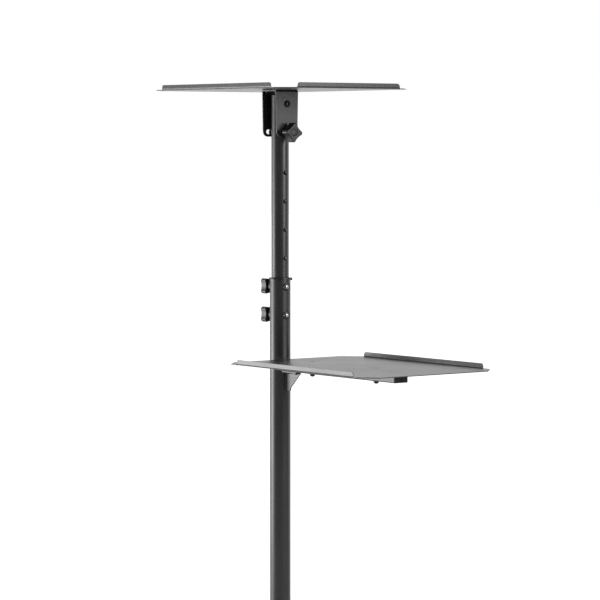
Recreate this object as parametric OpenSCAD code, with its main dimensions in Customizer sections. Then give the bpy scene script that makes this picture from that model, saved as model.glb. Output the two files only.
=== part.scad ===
// Projector trolley: a telescopic pole on an H-shaped castor base, with a tilting
// projector shelf on top and a laptop shelf on a side arm.
// X points towards the laptop shelf, Y the way the projector shines, Z up from the floor.

/* [Shelves] */
// Length of both shelves along X
shelf_w = 420; // [360:5:460]
// Depth of both shelves along Y
shelf_d = 300; // [260:5:340]
// How much of each shelf corner is cut off, along each side
corner_cut = 30; // [15:1:40]
// Height of the upturned lips, from the underside of the sheet
lip_h = 10; // [6:1:14]
// Thickness of the shelf sheet
sheet_t = 1.5; // [1:0.5:2]

/* [Heights] */
// Underside of the projector shelf above the floor
projector_shelf_z = 1211; // [1190:1:1260]
// Underside of the laptop shelf above the floor
laptop_shelf_z = 720; // [600:5:760]
// Top of the lower tube
lower_tube_top = 867; // [830:1:880]

/* [Pole] */
// Outside diameter of the lower tube
lower_d = 38; // [37:1:42]
// Outside diameter of the upper tube
upper_d = 32; // [28:1:32]
// Wall thickness of both tubes
tube_wall = 1.5; // [1:0.25:1.5]
// Distance from one height hole to the next
hole_pitch = 52; // [40:1:55]
// Number of height holes in the upper tube
hole_count = 6; // [3:1:6]

/* [Tilt bracket] */
// Width of the bracket's ears along Y
ear_w = 50; // [44:1:56]
// Space between the two ears
ear_gap = 39; // [37:1:42]
// Distance from the pivot to the clamp bolt
slot_r = 52; // [46:1:56]
// Largest tilt to either side, in degrees
tilt_max = 13; // [8:1:14]

/* [Laptop arm] */
// Width of the arm along Y
arm_w = 30; // [25:1:40]
// Height of the arm
arm_h = 20; // [15:1:25]
// Distance of the arm's free end from the pole axis
arm_reach = 350; // [320:5:360]
// Gap between the pole axis and the laptop shelf's near edge
shelf_gap = 24; // [22:1:30]

/* [Base] */
// Distance from one leg's centre line to the other's
leg_spacing = 450; // [400:10:520]
// Length of each leg along Y
leg_len = 480; // [460:10:560]
// Width of a leg tube
leg_w = 40; // [30:1:50]
// Height of a leg tube
leg_h = 20; // [15:1:25]
// Diameter of a castor wheel
wheel_d = 50; // [40:1:50]

/* [Hidden] */
$fn = 96;

// Running clearance round pins, the gap where pieces meet on a curve, and the play of bolts
run_gap = 0.05;
weld_gap = 0.05;
bolt_play = 0.2;
free_gap = 0.3;
cut = 1;

// Where the pole stands, so that the origin is under the middle of the whole trolley
leg_x = leg_spacing / 2;
reach_left = leg_x + leg_w / 2;
reach_right = shelf_gap + shelf_w;
pole_x = (reach_left - reach_right) / 2;

lower_r = lower_d / 2;
upper_r = upper_d / 2;
frame_wall = 1.5;

// Lips stop short of the sheet's corners. Facing a lip from outside, start is its left end
front_lip_start = corner_cut + 18;
front_lip_end = corner_cut + 5;
side_lip_start = corner_cut + 3;
side_lip_end = corner_cut + 10;
lip_slope = 1.5;

// Tilt bracket
bracket_t = 2;
web_bottom = projector_shelf_z - bracket_t;
pivot_z = projector_shelf_z - 25;
clamp_z = pivot_z - slot_r;
ear_in = ear_gap / 2;
ear_out = ear_in + bracket_t;
ear_bottom = clamp_z - 7.5;
ear_corner_r = 10;
ear_taper = 1.5;
pin_r = 4;
slot_half_w = pin_r + 0.2;
slot_end = tilt_max + 1;
screw_x = 13.5;
screw_y = 18;
screw_r = 2.5;
screw_head_r = 4.5;
screw_nut_r = 4.2;
screw_nut_h = 2.5;
pivot_head_r = 6.5;
pivot_head_h = 3.5;
pivot_nut_h = 5;
spacer_r = 8;
washer_r = 8;
washer_t = 1.5;

// Telescopic pole
upper_top = pivot_z + 16;
upper_bottom = lower_tube_top - 137;
plug_h = 1.5;
lock_z = lower_tube_top - 14;
collar_h = 2.5;
collar_r = lower_r + 2.2;
collar_in = upper_r + free_gap;
collar_depth = 25;
hole_r = 4.2;
lock_hole_r = 4.3;
lock_nut_r = 7;
tip_gap = 0.5;

// Star knobs
knob_r = 18.5;
knob_lobes = 4;
knob_star_h = 16;
knob_hub_h = 2;
knob_hub_r = 8;
scallop_r = 27.5;
scallop_at = 40;
height_knob_x = lower_r + 5.3;
lock_boss_r = 11;
lock_boss_h = 1.8;
height_knob_turn = 45;
clamp_knob_x = ear_out + 5.5;
clamp_knob_turn = -5;

// Arm, its bracket and its bolts
arm_top = laptop_shelf_z;
arm_bottom = arm_top - arm_h;
shelf_bolt_x = [98, 283];
shelf_bolt_r = 3;
shelf_bolt_head_r = 6;
shelf_bolt_nut_r = 5;
shelf_bolt_nut_h = 6;
bracket_sheet = 2.5;
bracket_flange_w = 9.5;
bracket_reach = 63;
bracket_screw_x = [32, 57];
bracket_screw_y = -5.4;
bracket_screw_head_r = 3.6;
// The web's outline below the arm: its far top corner, its toe and how far down it goes
web_top_x = 61;
web_toe_x = 32;
web_slope_end = 30;
web_drop = 36;

// Base
castor_h = 62;
leg_z = castor_h;
bar_end = leg_x - leg_w / 2;
foot_t = 4;
foot_w = 110;
foot_rib_h = 45;
foot_rib_w = 32;
foot_bolt_x = 44;
foot_bolt_y = 11;
foot_bolt_r = 3;
foot_bolt_hex_r = 5.5;
foot_bolt_hex_h = 4;
lower_bottom = leg_z + leg_h + foot_t;
cap_t = 2;
cap_depth = 14;

// Castors
wheel_r = wheel_d / 2;
castor_y = leg_len / 2 - 50;
trail = 13;
hood_in = wheel_r + 1.5;
hood_out = wheel_r + 4;
hood_half_w = 20;
hood_skirt_z = wheel_r - 3;
web_half_t = 4;
wheel_in = 5;
wheel_out = 19;
axle_r = 3;
stem_r = 5;
boss_r = 11;
boss_top = castor_h - 5;
stem_plate_r = 17;
stem_plate_t = 2.5;

frame_black = "#26272a";
sheet_black = "#2c2d30";
plastic_black = "#17181a";
rubber_grey = "#3a3c3e";
zinc = "#b9bcc0";

// Moves what is drawn round the pole axis to where the pole stands
module at_pole() {
    translate([pole_x, 0, 0])
        children();
}

// A cylinder along X, from x0 to x1, centred on y and z
module rod_x(r, x0, x1, y = 0, z = 0) {
    translate([x0, y, z])
        rotate([0, 90, 0])
            cylinder(r = r, h = x1 - x0);
}

// A rectangular steel tube along X
module box_tube(len, w, h) {
    difference() {
        translate([0, -w / 2, 0])
            cube([len, w, h]);
        translate([-cut, -w / 2 + frame_wall, frame_wall])
            cube([len + 2 * cut, w - 2 * frame_wall, h - 2 * frame_wall]);
    }
}

// A moulded plug for a rectangular tube along X, with its flange beyond x = 0
module box_plug(w, h) {
    inset = frame_wall + 0.1;
    translate([0, -w / 2, 0])
        cube([cap_t, w, h]);
    translate([-cap_depth, -w / 2 + inset, inset])
        cube([cap_depth, w - 2 * inset, h - 2 * inset]);
}

// The flat sheet of a shelf, centred on the origin, with its four corners cut
module shelf_sheet() {
    x = shelf_w / 2;
    y = shelf_d / 2;
    c = corner_cut;
    linear_extrude(sheet_t)
        polygon([
            [-x + c, -y], [x - c, -y], [x, -y + c], [x, y - c],
            [x - c, y], [-x + c, y], [-x, y - c], [-x, -y + c]
        ]);
}

// An upturned lip along X on the side that faces -Y, for a side of the given length
module lip(side, edge, start, end) {
    from = -side / 2 + start;
    to = side / 2 - end;
    translate([0, -edge + sheet_t, 0])
        rotate([90, 0, 0])
            linear_extrude(sheet_t)
                polygon([[from, 0], [to, 0], [to - lip_slope, lip_h], [from + lip_slope, lip_h]]);
}

module front_and_rear_lips() {
    for (turn = [0, 180])
        rotate([0, 0, turn])
            lip(shelf_w, shelf_d / 2, front_lip_start, front_lip_end);
}

module side_lips() {
    for (turn = [90, -90])
        rotate([0, 0, turn])
            lip(shelf_d, shelf_w / 2, side_lip_start, side_lip_end);
}

// The hole that a flush screw head sits in, in a sheet whose underside is at z = 0
module flush_hole(shank_r, head_r) {
    translate([0, 0, -cut])
        cylinder(r = shank_r + bolt_play, h = 2 * cut);
    cylinder(r1 = shank_r + bolt_play, r2 = head_r + weld_gap, h = sheet_t);
    translate([0, 0, sheet_t])
        cylinder(r = head_r + weld_gap, h = cut);
}

// A star knob on the X axis: its hub starts at x = 0 and its star faces +X
module star_knob(bore_r) {
    difference() {
        union() {
            rod_x(knob_hub_r, 0, knob_hub_h + cut);
            difference() {
                rod_x(knob_r, knob_hub_h, knob_hub_h + knob_star_h);
                for (i = [0 : knob_lobes - 1])
                    rotate([360 * (i + 0.5) / knob_lobes, 0, 0])
                        rod_x(scallop_r, knob_hub_h - cut, knob_hub_h + knob_star_h + cut, scallop_at);
            }
        }
        rod_x(bore_r, -cut, knob_hub_h + knob_star_h / 2);
    }
}

module leg(side) {
    translate([side * leg_x, -leg_len / 2, leg_z])
        rotate([0, 0, 90])
            box_tube(leg_len, leg_w, leg_h);
}

module base_leg_left() {
    color(frame_black)
        at_pole()
            leg(-1);
}

module base_leg_right() {
    color(frame_black)
        at_pole()
            leg(1);
}

module base_crossbar() {
    color(frame_black)
        at_pole()
            difference() {
                translate([-bar_end, 0, leg_z])
                    box_tube(2 * bar_end, leg_w, leg_h);
                for (x = [-foot_bolt_x, foot_bolt_x], y = [-foot_bolt_y, foot_bolt_y])
                    translate([x, y, leg_z + leg_h / 2])
                        cylinder(r = foot_bolt_r + bolt_play, h = leg_h);
            }
}

module leg_end_caps() {
    color(plastic_black)
        at_pole()
            for (side = [-1, 1], turn = [90, -90])
                translate([side * leg_x, sign(turn) * leg_len / 2, leg_z])
                    rotate([0, 0, turn])
                        box_plug(leg_w, leg_h);
}

module pole_foot() {
    plate_z = leg_z + leg_h;
    color(frame_black)
        at_pole()
            difference() {
                union() {
                    translate([-foot_w / 2, -leg_w / 2, plate_z])
                        cube([foot_w, leg_w, foot_t]);
                    for (turn = [0, 180])
                        rotate([0, 0, turn])
                            translate([0, foot_t / 2, lower_bottom])
                                rotate([90, 0, 0])
                                    linear_extrude(foot_t)
                                        polygon([
                                            [0, 0], [lower_r + foot_rib_w, 0],
                                            [lower_r + 4, foot_rib_h], [0, foot_rib_h]
                                        ]);
                }
                translate([0, 0, lower_bottom])
                    cylinder(r = lower_r + weld_gap, h = foot_rib_h + cut);
                for (x = [-foot_bolt_x, foot_bolt_x], y = [-foot_bolt_y, foot_bolt_y])
                    translate([x, y, plate_z - cut])
                        cylinder(r = foot_bolt_r + bolt_play, h = foot_t + 2 * cut);
            }
}

module foot_bolts() {
    shank_bottom = leg_z + leg_h - 6;
    color(plastic_black)
        at_pole()
            for (x = [-foot_bolt_x, foot_bolt_x], y = [-foot_bolt_y, foot_bolt_y])
                translate([x, y, 0]) {
                    translate([0, 0, shank_bottom])
                        cylinder(r = foot_bolt_r, h = lower_bottom - shank_bottom + cut);
                    translate([0, 0, lower_bottom])
                        cylinder(r = foot_bolt_hex_r, h = foot_bolt_hex_h, $fn = 6);
                }
}

// One castor's moulded body: swivel axis on Z, wheel axle along X behind it
module castor_body() {
    difference() {
        union() {
            intersection() {
                rod_x(hood_out, -hood_half_w, hood_half_w, -trail, wheel_r);
                translate([-hood_half_w, -trail - hood_out, hood_skirt_z])
                    cube([2 * hood_half_w, 2 * hood_out, 2 * hood_out]);
            }
            rod_x(wheel_r - 4, -web_half_t, web_half_t, -trail, wheel_r);
            translate([0, 0, wheel_r])
                cylinder(r = boss_r, h = boss_top - wheel_r);
        }
        rod_x(hood_in, -hood_half_w - cut, -web_half_t, -trail, wheel_r);
        rod_x(hood_in, web_half_t, hood_half_w + cut, -trail, wheel_r);
        rod_x(axle_r + run_gap, -web_half_t - cut, web_half_t + cut, -trail, wheel_r);
        translate([0, 0, boss_top - 10])
            cylinder(r = stem_r + run_gap, h = 10 + cut);
    }
}

// Both wheels of one castor on their axle
module castor_wheels() {
    for (side = [-1, 1])
        mirror([side < 0 ? 1 : 0, 0, 0])
            rod_x(wheel_r, wheel_in, wheel_out, -trail, wheel_r);
    rod_x(axle_r, -wheel_in - cut, wheel_in + cut, -trail, wheel_r);
}

module at_castor(side, end) {
    translate([pole_x + side * leg_x, end * castor_y, 0])
        children();
}

module castor_front_left() {
    color(plastic_black)
        at_castor(-1, 1)
            castor_body();
}

module castor_front_right() {
    color(plastic_black)
        at_castor(1, 1)
            castor_body();
}

module castor_rear_left() {
    color(plastic_black)
        at_castor(-1, -1)
            castor_body();
}

module castor_rear_right() {
    color(plastic_black)
        at_castor(1, -1)
            castor_body();
}

module wheels_front_left() {
    color(rubber_grey)
        at_castor(-1, 1)
            castor_wheels();
}

module wheels_front_right() {
    color(rubber_grey)
        at_castor(1, 1)
            castor_wheels();
}

module wheels_rear_left() {
    color(rubber_grey)
        at_castor(-1, -1)
            castor_wheels();
}

module wheels_rear_right() {
    color(rubber_grey)
        at_castor(1, -1)
            castor_wheels();
}

module castor_stems() {
    color(zinc)
        for (side = [-1, 1], end = [-1, 1])
            at_castor(side, end) {
                translate([0, 0, boss_top - 9])
                    cylinder(r = stem_r, h = castor_h - boss_top + 9 - stem_plate_t / 2);
                translate([0, 0, castor_h - stem_plate_t])
                    cylinder(r = stem_plate_r, h = stem_plate_t);
            }
}

// The foot levers of the two rear castors
module brake_levers() {
    lever_w = 22;
    lever_len = 6;
    lever_t = 4;
    color(plastic_black)
        for (side = [-1, 1])
            at_castor(side, -1)
                difference() {
                    translate([-lever_w / 2, -trail - hood_out - lever_len, wheel_r + 4])
                        cube([lever_w, lever_len + 6, lever_t]);
                    rod_x(hood_out + weld_gap, -lever_w, lever_w, -trail, wheel_r);
                }
}

module lower_tube() {
    color(frame_black)
        at_pole()
            difference() {
                translate([0, 0, lower_bottom])
                    cylinder(r = lower_r, h = lower_tube_top - lower_bottom);
                translate([0, 0, lower_bottom - cut])
                    cylinder(r = lower_r - tube_wall, h = lower_tube_top - lower_bottom + 2 * cut);
                for (i = [0, 1])
                    rod_x(lock_hole_r, -lower_d, lower_d, 0, lock_z - i * hole_pitch);
            }
}

// The plastic bush in the mouth of the lower tube, with its small index tab
module tube_collar() {
    tab_w = 5;
    tab_reach = collar_r + 1.2;
    tab_h = 5;
    tab_turn = 53;
    sleeve_out = lower_r - tube_wall - 0.1;
    color(plastic_black)
        at_pole()
            difference() {
                union() {
                    translate([0, 0, lower_tube_top])
                        cylinder(r = collar_r, h = collar_h);
                    translate([0, 0, lower_tube_top - collar_depth])
                        cylinder(r = sleeve_out, h = collar_depth + cut);
                    rotate([0, 0, tab_turn]) {
                        translate([upper_r + 1, -tab_w / 2, lower_tube_top])
                            cube([tab_reach - upper_r - 1, tab_w, collar_h]);
                        translate([lower_r + weld_gap, -tab_w / 2, lower_tube_top - tab_h + collar_h])
                            cube([tab_reach - lower_r - weld_gap, tab_w, tab_h]);
                    }
                }
                translate([0, 0, lower_tube_top - collar_depth - cut])
                    cylinder(r = collar_in, h = collar_depth + collar_h + 2 * cut);
                rod_x(lock_hole_r, -lower_d, lower_d, 0, lock_z);
            }
}

// For each lock bolt, a welded nut on the far side of the lower tube and a round boss behind the knob
module lock_nuts() {
    color(plastic_black)
        at_pole()
            for (i = [0, 1])
                difference() {
                    union() {
                        rod_x(lock_nut_r, lower_r - 2, lower_r + 3, 0, lock_z - i * hole_pitch);
                        rod_x(lock_boss_r, -lower_r - lock_boss_h, -lower_r / 2, 0, lock_z - i * hole_pitch);
                    }
                    translate([0, 0, lower_bottom])
                        cylinder(r = lower_r + weld_gap, h = lower_tube_top);
                    rod_x(pin_r + run_gap, 0, lower_d, 0, lock_z - i * hole_pitch);
                    rod_x(lock_hole_r, -lower_d, 0, 0, lock_z - i * hole_pitch);
                }
}

// The ends of the lock bolts, seen in the welded nuts
module lock_bolt_tips() {
    color(zinc)
        at_pole()
            for (i = [0, 1])
                rod_x(pin_r, upper_r + tip_gap, lower_r + 4, 0, lock_z - i * hole_pitch);
}

module shelf_arm() {
    color(frame_black)
        at_pole()
            difference() {
                translate([0, 0, arm_bottom])
                    box_tube(arm_reach, arm_w, arm_h);
                translate([0, 0, lower_bottom])
                    cylinder(r = lower_r + weld_gap, h = lower_tube_top);
                for (x = shelf_bolt_x)
                    translate([x, 0, arm_bottom - cut])
                        cylinder(r = shelf_bolt_r + bolt_play, h = arm_h + 2 * cut);
                for (x = bracket_screw_x)
                    translate([x, bracket_screw_y, arm_bottom - cut])
                        cylinder(r = screw_r + bolt_play, h = frame_wall + 2 * cut);
            }
}

module arm_end_cap() {
    color(plastic_black)
        at_pole()
            translate([arm_reach, 0, arm_bottom])
                box_plug(arm_w, arm_h);
}

// The folded sheet bracket under the arm: an upright web welded to the tube, and a flange on the arm
module arm_bracket() {
    web_y = bracket_sheet / 2;
    color(frame_black)
        at_pole()
            difference() {
                union() {
                    translate([0, -bracket_flange_w, arm_bottom - bracket_sheet])
                        cube([bracket_reach, bracket_flange_w + web_y, bracket_sheet]);
                    translate([0, web_y, arm_bottom])
                        rotate([90, 0, 0])
                            linear_extrude(bracket_sheet)
                                polygon([
                                    [0, 0], [web_top_x, 0], [web_top_x, -bracket_sheet - 1],
                                    [web_toe_x + 1.5, -web_slope_end], [web_toe_x, -web_slope_end - 3],
                                    [web_toe_x, -web_drop], [0, -web_drop]
                                ]);
                }
                translate([0, 0, lower_bottom])
                    cylinder(r = lower_r + weld_gap, h = lower_tube_top);
                for (x = bracket_screw_x)
                    translate([x, bracket_screw_y, arm_bottom - 2 * bracket_sheet])
                        cylinder(r = screw_r + bolt_play, h = 3 * bracket_sheet);
            }
}

module arm_bracket_screws() {
    color(plastic_black)
        at_pole()
            for (x = bracket_screw_x)
                translate([x, bracket_screw_y, arm_bottom - bracket_sheet]) {
                    translate([0, 0, -cut])
                        cylinder(r = screw_r, h = bracket_sheet + frame_wall + cut);
                    translate([0, 0, -bracket_sheet])
                        cylinder(r = bracket_screw_head_r, h = bracket_sheet);
                }
}

module laptop_shelf() {
    color(sheet_black)
        at_pole()
            difference() {
                translate([shelf_gap + shelf_w / 2, 0, laptop_shelf_z])
                    union() {
                        shelf_sheet();
                        front_and_rear_lips();
                    }
                for (x = shelf_bolt_x)
                    translate([x, 0, laptop_shelf_z])
                        flush_hole(shelf_bolt_r, shelf_bolt_head_r);
            }
}

// The two flush bolts that hold the laptop shelf on its arm, and their nuts
module shelf_bolts() {
    shank_bottom = arm_bottom - shelf_bolt_nut_h / 2;
    color(plastic_black)
        at_pole()
            for (x = shelf_bolt_x)
                translate([x, 0, 0]) {
                    translate([0, 0, laptop_shelf_z])
                        cylinder(r1 = shelf_bolt_r, r2 = shelf_bolt_head_r, h = sheet_t);
                    translate([0, 0, shank_bottom])
                        cylinder(r = shelf_bolt_r, h = laptop_shelf_z - shank_bottom + sheet_t / 2);
                    translate([0, 0, arm_bottom - shelf_bolt_nut_h])
                        cylinder(r = shelf_bolt_nut_r, h = shelf_bolt_nut_h);
                }
}

// Moves a star knob to the user's side of the lower tube, facing -X
module at_height_lock(i) {
    translate([pole_x, 0, lock_z - i * hole_pitch])
        rotate([0, 0, 180])
            translate([height_knob_x, 0, 0])
                rotate([height_knob_turn, 0, 0])
                    children();
}

// A lock bolt's threaded shank, from inside its knob to just short of the upper tube
module height_stud() {
    rod_x(pin_r, upper_r + tip_gap - height_knob_x, knob_hub_h + knob_star_h / 2 - cut);
}

module height_knob_upper() {
    color(plastic_black)
        at_height_lock(0)
            star_knob(pin_r);
}

module height_stud_upper() {
    color(zinc)
        at_height_lock(0)
            height_stud();
}

module height_knob_lower() {
    color(plastic_black)
        at_height_lock(1)
            star_knob(pin_r);
}

module height_stud_lower() {
    color(zinc)
        at_height_lock(1)
            height_stud();
}

module upper_tube() {
    color(frame_black)
        at_pole()
            difference() {
                translate([0, 0, upper_bottom])
                    cylinder(r = upper_r, h = upper_top - upper_bottom);
                translate([0, 0, upper_bottom - cut])
                    cylinder(r = upper_r - tube_wall, h = upper_top - upper_bottom + 2 * cut);
                for (i = [0 : hole_count - 1])
                    rod_x(hole_r, -upper_d, upper_d, 0, lock_z + (i - 1) * hole_pitch);
                rod_x(pin_r + run_gap, -upper_d, upper_d, 0, pivot_z);
                rod_x(pin_r + run_gap, -upper_d, upper_d, 0, clamp_z);
            }
}

module tube_plug() {
    neck_r = upper_r - tube_wall - 0.1;
    color(plastic_black)
        at_pole() {
            translate([0, 0, upper_top])
                cylinder(r1 = upper_r, r2 = upper_r - 3, h = plug_h);
            translate([0, 0, upper_top - 8])
                cylinder(r = neck_r, h = 8 + plug_h / 2);
        }
}

// The pin that the bracket tilts on, with a low round head and a nut
module pivot_bolt() {
    outside = ear_out + free_gap;
    color(plastic_black)
        at_pole() {
            rod_x(pin_r, -outside - cut, outside + cut, 0, pivot_z);
            rod_x(pivot_head_r, outside, outside + pivot_head_h, 0, pivot_z);
            rod_x(pivot_head_r, -outside - pivot_nut_h, -outside, 0, pivot_z);
        }
}

module pivot_spacers() {
    color(plastic_black)
        at_pole()
            for (side = [0, 1])
                mirror([side, 0, 0])
                    difference() {
                        rod_x(spacer_r, upper_r - 4, ear_in - free_gap, 0, pivot_z);
                        translate([0, 0, upper_bottom])
                            cylinder(r = upper_r + weld_gap, h = upper_top);
                        rod_x(pin_r + run_gap, 0, upper_d, 0, pivot_z);
                    }
}

// The bolt that clamps the tilt: head on the left ear, washer and thread on the right
module clamp_bolt() {
    outside = ear_out + free_gap;
    color(plastic_black)
        at_pole() {
            rod_x(pin_r, -outside - cut, clamp_knob_x + knob_hub_h + 5, 0, clamp_z);
            rod_x(washer_r, -outside - pivot_nut_h, -outside, 0, clamp_z);
            rod_x(washer_r, outside, outside + washer_t, 0, clamp_z);
        }
}

module clamp_knob() {
    color(plastic_black)
        translate([pole_x + clamp_knob_x, 0, clamp_z])
            rotate([clamp_knob_turn, 0, 0])
                star_knob(pin_r + run_gap);
}

// The outline of one ear, with Y across and Z up, its lower corners round
module ear_outline() {
    half_top = ear_w / 2;
    half_low = half_top - ear_taper;
    round_z = ear_bottom + ear_corner_r;
    polygon([
        [-half_top, projector_shelf_z], [-half_low, round_z],
        [half_low, round_z], [half_top, projector_shelf_z]
    ]);
    translate([-half_low + ear_corner_r, ear_bottom])
        square([2 * (half_low - ear_corner_r), ear_corner_r + cut]);
    for (side = [-1, 1])
        translate([side * (half_low - ear_corner_r), round_z])
            circle(r = ear_corner_r);
}

// The curved slot for the clamp bolt, cut through both ears about the pivot
module tilt_slot() {
    translate([-upper_d, 0, pivot_z])
        rotate([0, 90, 0]) {
            rotate([0, 0, -slot_end])
                rotate_extrude(angle = 2 * slot_end)
                    translate([slot_r - slot_half_w, 0])
                        square([2 * slot_half_w, 2 * upper_d]);
            for (turn = [-slot_end, slot_end])
                rotate([0, 0, turn])
                    translate([slot_r, 0, 0])
                        cylinder(r = slot_half_w, h = 2 * upper_d);
        }
}

module tilt_bracket() {
    color(frame_black)
        at_pole()
            difference() {
                union() {
                    translate([-ear_out, -ear_w / 2, web_bottom])
                        cube([2 * ear_out, ear_w, bracket_t]);
                    for (x = [-ear_out, ear_in])
                        translate([x, 0, 0])
                            rotate([90, 0, 90])
                                linear_extrude(bracket_t)
                                    ear_outline();
                }
                rod_x(pin_r + run_gap, -upper_d, upper_d, 0, pivot_z);
                tilt_slot();
                at_shelf_screws()
                    translate([0, 0, web_bottom - cut])
                        cylinder(r = screw_r + bolt_play, h = bracket_t + 2 * cut);
            }
}

module at_shelf_screws() {
    for (x = [-screw_x, screw_x], y = [-screw_y, screw_y])
        translate([x, y, 0])
            children();
}

module projector_shelf() {
    color(sheet_black)
        at_pole()
            difference() {
                translate([0, 0, projector_shelf_z])
                    union() {
                        shelf_sheet();
                        front_and_rear_lips();
                        side_lips();
                    }
                at_shelf_screws()
                    translate([0, 0, projector_shelf_z])
                        flush_hole(screw_r, screw_head_r);
            }
}

// The four flush screws that hold the projector shelf on its bracket, and their nuts
module shelf_screws() {
    nut_bottom = web_bottom - screw_nut_h;
    color(plastic_black)
        at_pole()
            at_shelf_screws() {
                translate([0, 0, projector_shelf_z])
                    cylinder(r1 = screw_r, r2 = screw_head_r, h = sheet_t);
                translate([0, 0, nut_bottom])
                    cylinder(r = screw_r, h = projector_shelf_z - nut_bottom + sheet_t / 2);
                translate([0, 0, nut_bottom])
                    cylinder(r = screw_nut_r, h = screw_nut_h, $fn = 6);
            }
}

base_leg_left();
base_leg_right();
base_crossbar();
leg_end_caps();
pole_foot();
foot_bolts();
castor_front_left();
castor_front_right();
castor_rear_left();
castor_rear_right();
wheels_front_left();
wheels_front_right();
wheels_rear_left();
wheels_rear_right();
castor_stems();
brake_levers();
lower_tube();
tube_collar();
lock_nuts();
lock_bolt_tips();
shelf_arm();
arm_end_cap();
arm_bracket();
arm_bracket_screws();
laptop_shelf();
shelf_bolts();
height_knob_upper();
height_stud_upper();
height_knob_lower();
height_stud_lower();
upper_tube();
tube_plug();
pivot_bolt();
pivot_spacers();
clamp_bolt();
clamp_knob();
tilt_bracket();
projector_shelf();
shelf_screws();
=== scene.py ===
"""Projector trolley: coated steel on castors, with a tilting shelf on top and a shelf on a side arm.

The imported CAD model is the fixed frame. Each operator below models one group of pieces round it.
Shapes are worked out in millimetres, with X measured from the pole's axis, as in the part's source.
"""
import math

import bmesh
import bpy
from bpy.props import FloatProperty, FloatVectorProperty, IntProperty, PointerProperty
from mathutils import Matrix, Vector


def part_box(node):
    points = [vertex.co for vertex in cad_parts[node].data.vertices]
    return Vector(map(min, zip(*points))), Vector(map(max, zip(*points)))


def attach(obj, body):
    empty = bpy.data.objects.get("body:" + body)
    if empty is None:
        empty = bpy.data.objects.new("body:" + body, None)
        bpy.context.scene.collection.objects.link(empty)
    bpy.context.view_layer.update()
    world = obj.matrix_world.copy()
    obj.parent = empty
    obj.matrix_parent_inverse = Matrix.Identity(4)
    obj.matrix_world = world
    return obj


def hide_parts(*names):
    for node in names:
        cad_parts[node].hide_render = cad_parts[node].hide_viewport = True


bl_info = {
    "name": "Projector trolley",
    "version": (1, 0, 0),
    "blender": (4, 5, 0),
    "location": "3D View > Sidebar > Trolley",
    "description": "Models the visible pieces of a projector trolley round its CAD frame",
    "category": "Object",
}

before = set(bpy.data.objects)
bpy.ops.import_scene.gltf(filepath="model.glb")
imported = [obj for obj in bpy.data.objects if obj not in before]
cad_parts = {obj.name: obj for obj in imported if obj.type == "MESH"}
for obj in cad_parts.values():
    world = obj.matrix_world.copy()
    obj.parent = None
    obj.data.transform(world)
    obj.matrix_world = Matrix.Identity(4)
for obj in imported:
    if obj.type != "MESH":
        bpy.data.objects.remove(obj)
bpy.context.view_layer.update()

MM = 0.001
QUARTER = math.pi / 2
FULL = 2 * math.pi
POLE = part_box("lower_tube")
POLE_X = (POLE[0].x + POLE[1].x) / 2


# ---- places and limits of the CAD nodes, in mm from the pole's axis ----

def limits(node):
    """Lowest and highest corner of a CAD node"""
    low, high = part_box(node)
    shift = Vector((POLE_X, 0, 0))
    return (low - shift) / MM, (high - shift) / MM


def middle(node):
    low, high = limits(node)
    return (low + high) / 2


def at(x=0.0, y=0.0, z=0.0):
    return Matrix.Translation((x, y, z))


def turn(degrees, axis):
    return Matrix.Rotation(math.radians(degrees), 4, axis)


def mirrored(x=1, y=1, z=1):
    return Matrix.Diagonal((x, y, z, 1))


# Outside radius of the lower and the upper tube
TUBE_R = limits("lower_tube")[1].x
MAST_R = limits("upper_tube")[1].x

# Reach of a star knob's lobes
KNOB_R = 18.5

# Thickness of a shelf's sheet
SHEET = 1.5

# How far a lip's left and right end are from the sheet's corners, seen from outside
FRONT_LIP = (48, 35)
SIDE_LIP = (33, 40)

# How much a tube's cutter is wider than the tube
PLAY = 0.03

# In degrees: sheet edges that turn by more are rounded off, and edges that turn by less shade smooth
SHARP_FROM = 50
SMOOTH_BELOW = 35

# Turns a shape made along Z so that it points along +X, -X or -Z
ALONG_X = turn(90, "Y")
BACK_X = turn(-90, "Y")
DOWN = turn(180, "X")

# Takes X, Y, Z to Y, Z, X, so that what was spun about Z is spun about X; and the way back
ABOUT_X = Matrix(((0, 0, 1, 0), (1, 0, 0, 0), (0, 1, 0, 0), (0, 0, 0, 1)))
UPRIGHT = ABOUT_X.transposed()


# ---- shapes ----

def edges_of(verts):
    return list(dict.fromkeys(edge for vert in verts for edge in vert.link_edges))


def verts_in(geometry):
    return [g for g in geometry if isinstance(g, bmesh.types.BMVert)]


def first_in(geometry, kind):
    return next(g for g in geometry if isinstance(g, kind))


def sharp_edges(bm):
    least = math.radians(SHARP_FROM)
    return [e for e in bm.edges if len(e.link_faces) == 2 and e.calc_face_angle() > least]


def outlined(bm, corners):
    """A flat face from its corners"""
    return bm.faces.new([bm.verts.new(corner) for corner in corners])


def round_off(bm, edges, radius, segments=2):
    """Rounds edges, or leaves them alone where the radius is nothing"""
    if radius > 0 and edges:
        bmesh.ops.bevel(
            bm, geom=edges, offset=radius, offset_type="OFFSET", affect="EDGES",
            segments=segments, profile=0.5, material=-1, clamp_overlap=True,
        )


def round_corners(bm, verts, radius, segments):
    """Rounds the corners of a sheet that has no thickness yet"""
    bmesh.ops.bevel(
        bm, geom=verts, offset=radius, offset_type="OFFSET", affect="VERTICES",
        segments=segments, profile=0.5, material=-1,
    )


def block(low, high, edge=0.0, segments=2, only=None):
    """A box with rounded edges; only names the axis that the rounded edges run along"""
    low, high = Vector(low), Vector(high)
    bm = bmesh.new()
    bmesh.ops.create_cube(bm, size=1)
    bmesh.ops.scale(bm, vec=high - low, verts=bm.verts)
    bmesh.ops.translate(bm, vec=(low + high) / 2, verts=bm.verts)
    edges = bm.edges[:]
    if only is not None:
        edges = [e for e in edges if abs((e.verts[1].co - e.verts[0].co).normalized()[only]) > 0.9]
    round_off(bm, edges, edge, segments)
    return bm


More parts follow.
